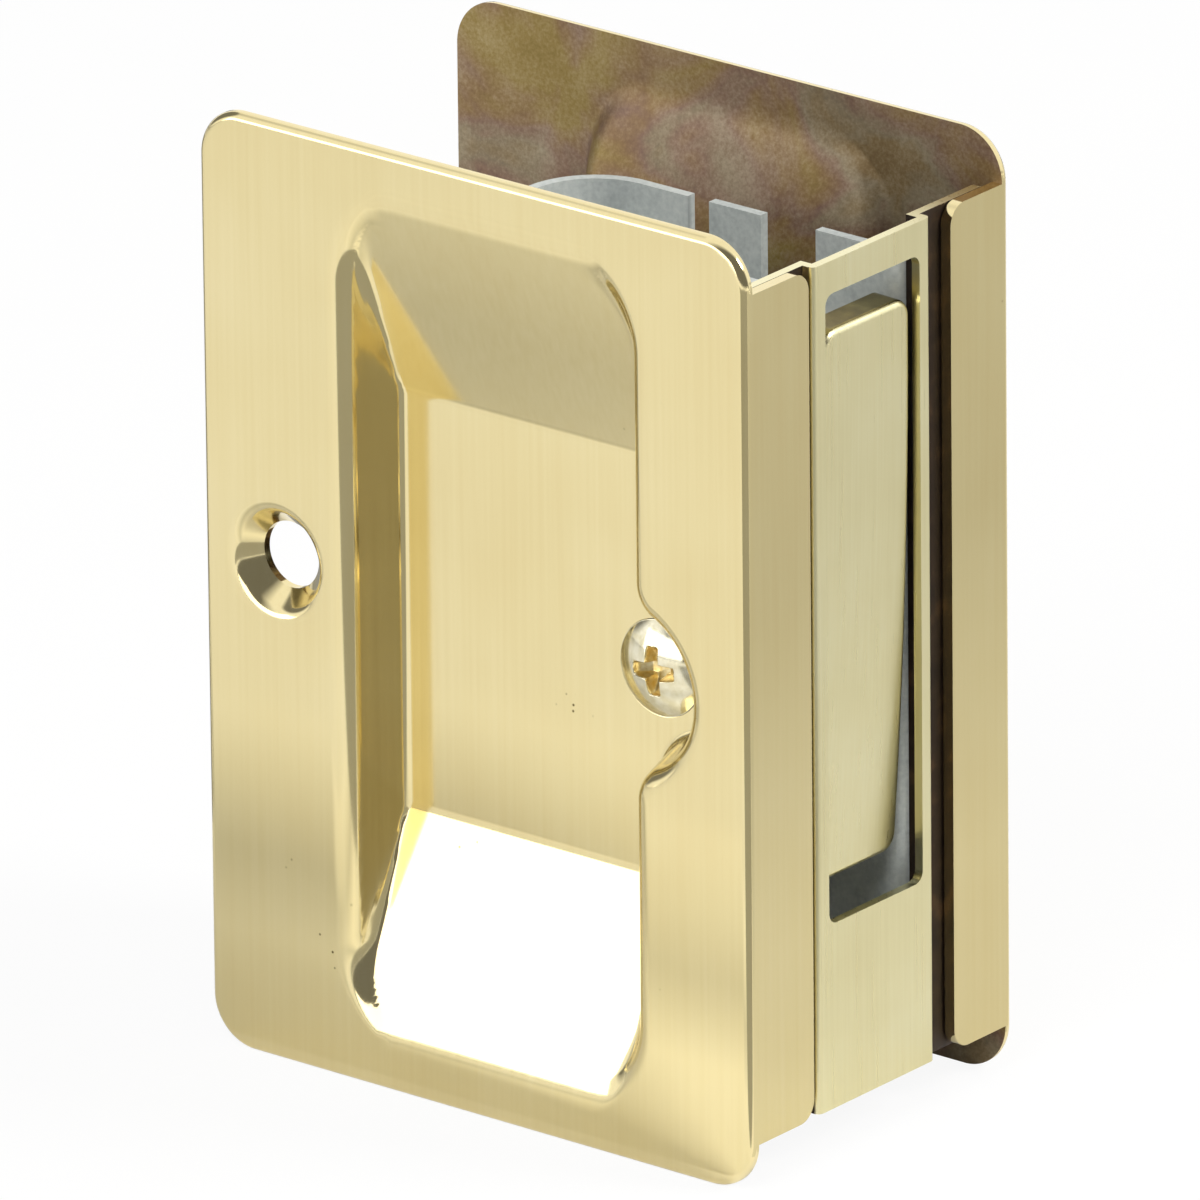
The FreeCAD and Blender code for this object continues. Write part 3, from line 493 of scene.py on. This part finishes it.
    # The flange: its outer and inner faces, with two round corners, and its cut edge.
    depths = spread([ROLL, SHEET, reach - FLANGE_CORNER, reach], [0.3, 0.8, 0.2])
    y, w = np.meshgrid(depths, zs[low:high + 1], indexing="ij")
    cy = np.minimum(y, reach - FLANGE_CORNER)
    cw = np.clip(w, FLANGE_CORNER - FLANGE_TOP, FLANGE_TOP - FLANGE_CORNER)
    a, b = (y - cy) / FLANGE_CORNER, (w - cw) / FLANGE_CORNER
    y = cy + FLANGE_CORNER * a * np.sqrt(1 - b * b / 2)
    w = np.where(a > 0, cw + FLANGE_CORNER * b * np.sqrt(1 - a * a / 2), w)
    face = np.stack([np.full_like(y, WIDTH), y, w], -1)
    behind = face - np.array([SHEET, 0, 0])
    x_out = np.broadcast_to(np.array([1.0, 0, 0]), face.shape)
    patches.append((face, x_out, 0, None))
    patches.append((behind[1:], -x_out[1:], 1, None))
    cut = np.concatenate([face[1:-1, 0], face[-1], face[-2:0:-1, -1]])
    step = np.gradient(cut, axis=0)
    cut_out = np.stack([np.zeros(len(cut)), step[:, 2], -step[:, 1]], -1)
    cut_out /= np.linalg.norm(cut_out, axis=1, keepdims=True)
    cut_in = cut - np.array([SHEET, 0, 0])
    patches.append((np.stack([cut, cut_in]), np.stack([cut_out, cut_out]), 0, None))
    return patches


def in_place(patches, turned):
    """The plate's patches in the pull's frame; turned gives the back plate, half round X."""
    sign = np.array([1.0, -1.0, -1.0]) if turned else np.ones(3)
    move = np.array([-WIDTH / 2, DEPTH / 2 if turned else -DEPTH / 2, HEIGHT / 2])
    return [(points * sign + move, out * sign, kind, keep) for points, out, kind, keep in patches]


# Rolled brass, polished on a mop: pale gold, with faint upright lines and small specks.
polished, tree, place = new_material("polished_brass")
along = node(tree, "ShaderNodeMapping", {
    "Vector": place, "Scale": (1 / 0.0005, 1 / 0.0005, 1 / 0.03)})
lines = node(tree, "ShaderNodeTexNoise", {
    "Vector": along.outputs["Vector"], "Scale": 1.0, "Detail": 3.0})
cloud = node(tree, "ShaderNodeTexNoise", {"Vector": place, "Scale": 1 / 0.018, "Detail": 2.0})
tone = node(tree, "ShaderNodeMix", {
    "Factor": 0.35, "A": cloud.outputs["Fac"], "B": lines.outputs["Fac"]}, data_type="FLOAT")
shade = node(tree, "ShaderNodeValToRGB", {"Fac": tone.outputs["Result"]},
             stops=[(0.3, "#E1D09C"), (0.5, "#E5D6A4"), (0.7, "#E9DBAC")])
rough = node(tree, "ShaderNodeMapRange", {
    "Value": lines.outputs["Fac"], "To Min": 0.08, "To Max": 0.14})
cell = node(tree, "ShaderNodeTexVoronoi", {"Vector": place, "Scale": 1 / 0.0011})
pit = node(tree, "ShaderNodeMapRange", {
    "Value": cell.outputs["Distance"], "From Min": 0.06, "From Max": 0.13,
    "To Min": 1.0, "To Max": 0.0})
worn = node(tree, "ShaderNodeTexNoise", {"Vector": place, "Scale": 1 / 0.011, "Detail": 1.0})
patch = node(tree, "ShaderNodeMapRange", {
    "Value": worn.outputs["Fac"], "From Min": 0.675, "From Max": 0.72})
pits = node(tree, "ShaderNodeMath", {
    0: pit.outputs["Result"], 1: patch.outputs["Result"]}, operation="MULTIPLY")
specked = node(tree, "ShaderNodeMix", {
    "Factor": pits.outputs["Value"], "A": shade.outputs["Color"], "B": linear("#5A4A22")},
    data_type="RGBA")
relief = node(tree, "ShaderNodeBump", {
    "Height": lines.outputs["Fac"], "Strength": 0.03, "Distance": 0.000003})
metal = node(tree, "ShaderNodeBsdfPrincipled", {
    "Base Color": specked.outputs["Result"], "Metallic": 1.0,
    "Roughness": rough.outputs["Result"], "Normal": relief.outputs["Normal"]})
node(tree, "ShaderNodeOutputMaterial", {"Surface": metal.outputs["BSDF"]})

# The same sheet unpolished: browned unevenly by annealing, with a salt-and-pepper grain and
# blotches of olive, rust and purple, as brass takes in the furnace.
annealed, tree, place = new_material("annealed_brass")
grain = node(tree, "ShaderNodeTexNoise", {
    "Vector": place, "Scale": 1 / 0.0004, "Detail": 2.0, "Roughness": 0.7})
blotch = node(tree, "ShaderNodeTexNoise", {
    "Vector": place, "Scale": 1 / 0.008, "Detail": 4.0, "Roughness": 0.6})
hue = node(tree, "ShaderNodeTexNoise", {
    "Vector": place, "Scale": 1 / 0.011, "Detail": 3.0, "Distortion": 0.6})
mottle = node(tree, "ShaderNodeMix", {
    "Factor": 0.42, "A": blotch.outputs["Fac"], "B": grain.outputs["Fac"]}, data_type="FLOAT")
shade = node(tree, "ShaderNodeValToRGB", {"Fac": mottle.outputs["Result"]},
             stops=[(0.36, "#5F4C2C"), (0.46, "#7F6C47"), (0.55, "#9A8A69"), (0.66, "#B8AA8B")])
tint = node(tree, "ShaderNodeValToRGB", {"Fac": hue.outputs["Fac"]},
            stops=[(0.36, "#96803C"), (0.45, "#8A6A48"), (0.52, "#826260"),
                   (0.6, "#8A8070"), (0.68, "#80694A")])
mixed = node(tree, "ShaderNodeMix", {
    "Factor": 0.5, "A": shade.outputs["Color"], "B": tint.outputs["Color"]}, data_type="RGBA")
rough = node(tree, "ShaderNodeMapRange", {
    "Value": mottle.outputs["Result"], "To Min": 0.34, "To Max": 0.56})
metal = node(tree, "ShaderNodeBsdfPrincipled", {
    "Base Color": mixed.outputs["Result"], "Metallic": 0.55,
    "Roughness": rough.outputs["Result"]})
node(tree, "ShaderNodeOutputMaterial", {"Surface": metal.outputs["BSDF"]})

# The front plate's flange is drawn up against the edge plate's step.
front = in_place(side_plate(FLANGE + DRAWN_UP), False)
piece("front_plate_brass", weld(front), [polished, annealed], "housing",
      "front_plate")
back = in_place(side_plate(FLANGE), True)
piece("back_plate_brass", weld(back), [polished, annealed], "housing",
      "back_plate")


# Clamp screws: oval head machine screws with a cross recess, one through each cup's floor
# into the strap. Headed and thread rolled from wire, brass plated and barrel polished.
def clamp_screw():
    """A turned profile (radius, height) carried round its axis: a dome that is part of a ball,
    with the recess sunk into it, then a cone, a shank with a cosine thread, and a point."""
    head, crown, shank, length, point = 4.2, 1.3, 2.05, 9.5, 1.0
    pitch, thread_depth, rows = 0.8, 0.16, 90
    recess_edge = 0.12
    ball = (head ** 2 + crown ** 2) / (2 * crown)
    angle = np.linspace(0, 2 * math.pi, 145)
    inner = np.linspace(0, head, 61)
    dome = np.sqrt(ball ** 2 - inner ** 2) - ball + crown
    r, t = np.meshgrid(inner, angle, indexing="ij")
    p, q = r * np.cos(t), r * np.sin(t)

    def wing(along, across):
        """Depth of one bar of the cross: deep at the axis, running out at its ends, with soft
        sides."""
        bar, half_width, taper, soft, run_out, sink = 2.1, 0.78, 0.16, 0.26, 1.2, 1.45
        width = half_width - taper * np.abs(along) / bar
        side = np.clip((width - np.abs(across)) / soft, 0, 1)
        run = np.clip((bar - np.abs(along)) / run_out, 0, 1)
        return sink * side * side * (3 - 2 * side) * run ** 0.6

    def smooth_out(grid, sign):
        """Unit normals of a grid that closes on itself: the cross product of its two steps."""
        du, dv = np.gradient(grid, axis=0), np.gradient(grid, axis=1)
        dv[:, 0] = dv[:, -1] = (grid[:, 1] - grid[:, -2]) / 2
        out = sign * np.cross(du, dv)
        size = np.linalg.norm(out, axis=-1, keepdims=True)
        return out / np.maximum(size, 1e-12)

    sunk = np.maximum(wing(p, q), wing(q, p))
    top = np.stack([p, q, dome[:, None] - sunk], -1)
    cone_end = (shank - head) / math.tan(SINK)
    heights = np.concatenate([[0.0, cone_end], np.linspace(cone_end, point - length, rows)[1:],
                              [-length, -length]])
    radii = np.concatenate([[head, shank], np.full(rows - 1, shank), [point, 0.0]])
    g, t = np.meshgrid(np.arange(len(heights)), angle, indexing="ij")
    turns = heights[g] / pitch + t / (2 * math.pi)
    groove = thread_depth * (1 - np.cos(2 * math.pi * turns))
    rr = radii[g] - np.where((g > 4) & (g < rows - 2), groove, 0)
    body = np.stack([rr * np.cos(t), rr * np.sin(t), heights[g]], -1)
    up = smooth_out(top, 1.0)
    up[0] = (0, 0, 1)
    round_out = smooth_out(body, -1.0)
    round_out[-2:] = (0, 0, -1)
    cells = 0.25 * (sunk[:-1, :-1] + sunk[1:, :-1] + sunk[1:, 1:] + sunk[:-1, 1:])
    return [(top, up, (cells > recess_edge).astype(int), None), (body, round_out, 0, None)]


def set_screw(patches, front, turn):
    """The screw turned about its axis and stood in a cup: its head towards -Y in front and +Y
    behind."""
    c, s = math.cos(turn), math.sin(turn)
    out = -1.0 if front else 1.0
    spin = np.array([[c, -s, 0], [s, c, 0], [0, 0, 1.0]])
    stand = np.array([[1.0, 0, 0], [0, 0, out], [0, -out, 0]])
    move = np.array([SCREW_X - WIDTH / 2, out * (DEPTH / 2 - CUP_DEPTH), HEIGHT / 2])
    turned = stand @ spin
    return [(points @ turned.T + move, normals @ turned.T, kind, keep)
            for points, normals, kind, keep in patches]


# Bright brass plate over steel: paler than the plates and nearly a mirror.
plated, tree, place = new_material("bright_brass_plate")
haze = node(tree, "ShaderNodeTexNoise", {"Vector": place, "Scale": 1 / 0.0009, "Detail": 2.0})
shade = node(tree, "ShaderNodeValToRGB", {"Fac": haze.outputs["Fac"]},
             stops=[(0.35, "#D9D0AE"), (0.65, "#EBE5CC")])
rough = node(tree, "ShaderNodeMapRange", {
    "Value": haze.outputs["Fac"], "To Min": 0.08, "To Max": 0.18})
metal = node(tree, "ShaderNodeBsdfPrincipled", {
    "Base Color": shade.outputs["Color"], "Metallic": 1.0, "Roughness": rough.outputs["Result"]})
node(tree, "ShaderNodeOutputMaterial", {"Surface": metal.outputs["BSDF"]})

# Inside the recess the plating is untouched by the polishing, yellow and softer.
recess, tree, place = new_material("struck_recess_brass")
haze = node(tree, "ShaderNodeTexNoise", {"Vector": place, "Scale": 1 / 0.0004, "Detail": 2.0})
shade = node(tree, "ShaderNodeValToRGB", {"Fac": haze.outputs["Fac"]},
             stops=[(0.35, "#E0C98C"), (0.65, "#F3E4B8")])
metal = node(tree, "ShaderNodeBsdfPrincipled", {
    "Base Color": shade.outputs["Color"], "Metallic": 1.0, "Roughness": 0.32})
node(tree, "ShaderNodeOutputMaterial", {"Surface": metal.outputs["BSDF"]})
FRONT_TURN, BACK_TURN = 0.06, 1.1
screw = clamp_screw()
screws = set_screw(screw, True, FRONT_TURN) + set_screw(screw, False, BACK_TURN)
piece("clamp_screws_plated", weld(screws), [plated, recess], "housing",
      "clamp_screws")


# Studio: a white paper floor, three soft lamps, and grey cards on the floor that only the
# metal sees. The camera sees the floor nearly white, so that it keeps a faint shadow.
FLOOR = 3
floor_mesh = bpy.data.meshes.new("floor")
floor_mesh.from_pydata([(-FLOOR, -FLOOR, 0), (FLOOR, -FLOOR, 0), (FLOOR, FLOOR, 0),
                        (-FLOOR, FLOOR, 0)], [], [(0, 1, 2, 3)])
floor = bpy.data.objects.new("floor", floor_mesh)
bpy.context.scene.collection.objects.link(floor)
# Matt white paper with faint fibres; most of what the camera sees of it is plain white.
paper, tree, place = new_material("white_paper")
fibre = node(tree, "ShaderNodeTexNoise", {"Vector": place, "Scale": 1 / 0.02, "Detail": 2.0})
shade = node(tree, "ShaderNodeValToRGB", {"Fac": fibre.outputs["Fac"]},
             stops=[(0.3, "#F4F4F4"), (0.7, "#F8F8F8")])
sheet = node(tree, "ShaderNodeBsdfDiffuse", {"Color": shade.outputs["Color"]})
white = node(tree, "ShaderNodeEmission", {"Color": linear("#FFFFFF"), "Strength": 1.0})
seen = node(tree, "ShaderNodeLightPath")
mirrored = node(tree, "ShaderNodeMath", {
    0: seen.outputs["Is Glossy Ray"], 1: 0.1}, operation="MULTIPLY")
share = node(tree, "ShaderNodeMath", {
    0: seen.outputs["Is Camera Ray"], 1: 0.92, 2: mirrored.outputs["Value"]},
    operation="MULTIPLY_ADD")
ground = node(tree, "ShaderNodeMixShader", {
    "Fac": share.outputs["Value"], 1: sheet.outputs["BSDF"], 2: white.outputs["Emission"]})
node(tree, "ShaderNodeOutputMaterial", {"Surface": ground.outputs["Shader"]})
floor_mesh.materials.append(paper)


def panel(name, middle, towards, size, strength, code):
    """An area lamp of size metres at middle, facing a point."""
    lamp = bpy.data.lights.new(name, "AREA")
    lamp.shape = "RECTANGLE"
    lamp.size, lamp.size_y = size
    lamp.energy = strength * math.pi * size[0] * size[1]
    lamp.color = linear(code)[:3]
    made = bpy.data.objects.new(name, lamp)
    aim = (Vector(towards) - Vector(middle)).to_track_quat("-Z", "Y")
    made.matrix_world = Matrix.Translation(middle) @ aim.to_matrix().to_4x4()
    bpy.context.scene.collection.objects.link(made)
    made.visible_camera = False
    return made


panel("softbox_front_left", (-0.42, -1.08, 0.27), (0, 0, 0.05), (1.3, 0.45), 2.4, "#FFFFFF")
panel("key_right_behind", (0.85, 0.40, 0.85), (0, 0, 0), (0.4, 0.4), 21.0, "#FFFDF8")
fill = panel("fill_above_front", (0.30, -0.95, 1.05), (0, 0, 0.05), (0.6, 0.6), 9.0, "#FFFFFF")
fill.visible_glossy = False


def card(name, corners, axis, run, stops):
    """A flat card on the floor, graded over run metres along an axis; only the metal sees it."""
    lift = 0.001
    mesh = bpy.data.meshes.new(name)
    mesh.from_pydata([(x, y, lift) for x, y in corners], [], [(0, 1, 2, 3)])
    made = bpy.data.objects.new(name, mesh)
    bpy.context.scene.collection.objects.link(made)
    # Paper printed with a grey that changes along it: matt, so that it has no shine of its own.
    matt, tree, place = new_material("printed_grey_paper")
    across = node(tree, "ShaderNodeSeparateXYZ", {"Vector": place})
    along = node(tree, "ShaderNodeMapRange", {
        "Value": across.outputs[axis], "From Min": run[0], "From Max": run[1]})
    shade = node(tree, "ShaderNodeValToRGB", {"Fac": along.outputs["Result"]}, stops=stops)
    sheet = node(tree, "ShaderNodeBsdfDiffuse", {"Color": shade.outputs["Color"]})
    node(tree, "ShaderNodeOutputMaterial", {"Surface": sheet.outputs["BSDF"]})
    mesh.materials.append(matt)
    made.visible_camera = made.visible_shadow = made.visible_diffuse = False


card("dark_card_front_right",
     [(0.034, -0.022), (0.034, -0.4), (0.5, -0.4), (0.5, -0.022)], "X", (0.03, 0.4),
     [(0.0, "#A0A09D"), (1.0, "#9A9A98")])
card("grey_card_right_behind",
     [(0.031, -0.018), (0.5, -0.018), (0.5, 0.5), (0.031, 0.5)], "X", (0.06, 0.11),
     [(0.0, "#DADAD8"), (1.0, "#C2C2C0")])
card("grey_card_left",
     [(-0.5, -0.045), (-0.075, -0.045), (-0.075, 0.5), (-0.5, 0.5)], "X", (-0.2, -0.075),
     [(0.0, "#A8A8A6"), (1.0, "#8E8E8C")])
card("grey_card_front",
     [(-0.13, -0.078), (0.033, -0.078), (0.033, -0.018), (-0.13, -0.018)], "Y", (-0.078, -0.018),
     [(0.0, "#FFFFFF"), (0.25, "#EFEFED"), (0.45, "#DADAD8"), (0.56, "#EAEAE8"),
      (0.7, "#FFFFFD"), (1.0, "#F2F2F0")])

# The room: white to the camera. The metal sees it bright behind and on the left, dark in
# front and on the right, with a dim doorway on the left.
AMBIENT, BRIGHT_WAY, DOORWAY = 0.32, (-0.7, 0.7, 0.0), (-0.9, 0.0, 0.43)
world = bpy.data.worlds.new("studio")
bpy.context.scene.world = world
world.use_nodes = True
tree = world.node_tree
tree.nodes.clear()
seen = node(tree, "ShaderNodeLightPath")
around = node(tree, "ShaderNodeTexCoord").outputs["Generated"]
way = node(tree, "ShaderNodeVectorMath", {0: around, 1: BRIGHT_WAY}, operation="DOT_PRODUCT")
wall = node(tree, "ShaderNodeMapRange", {
    "Value": way.outputs["Value"], "From Min": -0.45, "From Max": -0.1,
    "To Min": -0.12, "To Max": 0.85})
door = node(tree, "ShaderNodeVectorMath", {0: around, 1: DOORWAY}, operation="DOT_PRODUCT")
dim = node(tree, "ShaderNodeMapRange", {
    "Value": door.outputs["Value"], "From Min": 0.86, "From Max": 0.92,
    "To Min": 1.0, "To Max": -0.1})
kept = node(tree, "ShaderNodeMath", {
    0: wall.outputs["Result"], 1: dim.outputs["Result"]}, operation="MULTIPLY")
level = node(tree, "ShaderNodeMath", {
    0: seen.outputs["Is Glossy Ray"], 1: kept.outputs["Value"], 2: AMBIENT},
    operation="MULTIPLY_ADD")
room = node(tree, "ShaderNodeBackground", {
    "Color": linear("#FFFFFF"), "Strength": level.outputs["Value"]})
white = node(tree, "ShaderNodeBackground", {"Color": linear("#FFFFFF"), "Strength": 1.0})
both = node(tree, "ShaderNodeMixShader", {
    "Fac": seen.outputs["Is Camera Ray"], 1: room.outputs["Background"],
    2: white.outputs["Background"]})
node(tree, "ShaderNodeOutputWorld", {"Surface": both.outputs["Shader"]})

# Camera: a long lens about two metres off, as the picture's near-parallel lines ask. Its
# focal length and shift are in the picture's pixels, its place is from the front face.
AZIMUTH, ELEVATION, TURN = (math.radians(a) for a in (38.878, 20.896, -0.587))
FOCAL, SHIFT, PICTURE = 25500, 4.0, 1200
CAMERA_X, CAMERA_Y, CAMERA_Z = 1.2296, -1.5086, 0.7882
out = Vector((math.sin(AZIMUTH) * math.cos(ELEVATION),
              -math.cos(AZIMUTH) * math.cos(ELEVATION), math.sin(ELEVATION)))
right = Vector((math.cos(AZIMUTH), math.sin(AZIMUTH), 0))
up = out.cross(right)
level = right * math.cos(TURN) + up * math.sin(TURN)
lean = up * math.cos(TURN) - right * math.sin(TURN)
lens = bpy.data.cameras.new("camera")
lens.sensor_width = 36.0
lens.lens = lens.sensor_width * FOCAL / PICTURE
lens.shift_y = SHIFT / PICTURE
lens.clip_end = 20
camera = bpy.data.objects.new("camera", lens)
eye = Matrix((level, lean, out)).transposed().to_4x4()
eye.translation = Vector((CAMERA_X, CAMERA_Y - 0.001 * DEPTH / 2, CAMERA_Z))
camera.matrix_world = eye
bpy.context.scene.collection.objects.link(camera)
bpy.context.scene.camera = camera

bpy.context.scene.view_settings.view_transform = "Standard"
